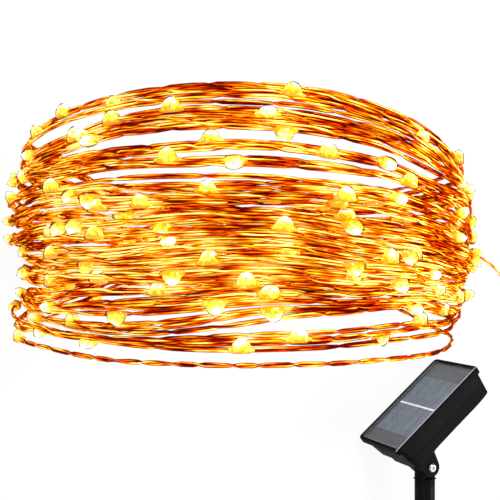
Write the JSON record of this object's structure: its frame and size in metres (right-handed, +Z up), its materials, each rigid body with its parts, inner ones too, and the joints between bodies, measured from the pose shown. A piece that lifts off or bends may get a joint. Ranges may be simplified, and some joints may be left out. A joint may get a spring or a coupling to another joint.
{
  "type": "solar string lights",
  "caption": "Solar head with a tilting ground stake and a coil of fine copper wire that carries clear light drops.",
  "frame": {"origin": "middle of the lip's long side, where the head rests on the table", "axes": "+Z up from the table, +Y towards the coil and -Y along the stake, +X to the right across the table"},
  "size_m": [0.4027, 0.4271, 0.228],
  "materials": {
    "black_housing": "moulded black ABS, fine satin grain",
    "seal_rubber": "soft black gasket",
    "laminate": "grey panel backing",
    "cell_silicon": "blue-grey silicon cells with thin dark grid lines",
    "bus_metal": "tinned bus strip",
    "clear_cover": "clear cover sheet",
    "screw_steel": "bright plated steel",
    "board_green": "green solder mask",
    "component_black": "moulded component bodies",
    "cell_wrap": "shrink wrap over a metal can",
    "contact_metal": "plated spring contacts",
    "button_rubber": "soft push cap",
    "wire_insulation": "thin insulated wire",
    "black_stake": "moulded black ABS",
    "stem_black": "extruded black tube",
    "copper_wire": "enamelled copper wire pair, loosely wound",
    "copper_lead": "enamelled copper wire pair",
    "clear_resin": "clear resin drop over a warm light"
  },
  "bodies": {
    "solar_head": {"front_shell": "black_housing", "rear_shell": "black_housing", "housing_seal": "seal_rubber", "solar_laminate": "laminate", "solar_cells": "cell_silicon", "bus_bar": "bus_metal", "cover_glass": "clear_cover", "cover_screws": "screw_steel", "hinge_bolt": "screw_steel", "lock_washer": "screw_steel", "hinge_nut": "screw_steel", "circuit_board": "board_green", "push_switches": "component_black", "board_components": "component_black", "board_screws": "screw_steel", "battery_cell": "cell_wrap", "spring_contact": "contact_metal", "plain_contact": "contact_metal", "inner_wires": "wire_insulation", "cable_gland": "seal_rubber", "string_lead": "copper_lead", "string_coil": "copper_wire", "light_drops": "clear_resin", "end_drop": "clear_resin", "coil_tie": "copper_lead"},
    "stake": {"stem_knuckle": "black_stake", "stem_tube": "stem_black", "ground_spike": "black_stake"},
    "power_button": {"power_button": "button_rubber"},
    "mode_button": {"mode_button": "button_rubber"}
  },
  "joints": [
    {"name": "tilt", "type": "hinge", "parent": "solar_head", "child": "stake", "pos_m": [0.00486, -0.04267, 0.023], "axis": [0, 0, 1], "range_deg": [-50, 100]},
    {"name": "power_press", "type": "slide", "parent": "solar_head", "child": "power_button", "axis": [-0.6018, 0.7986, 0], "range_m": [0, 0.0008], "stiffness_N_per_m": 300},
    {"name": "mode_press", "type": "slide", "parent": "solar_head", "child": "mode_button", "axis": [-0.6018, 0.7986, 0], "range_m": [0, 0.0008], "stiffness_N_per_m": 300}
  ]
}
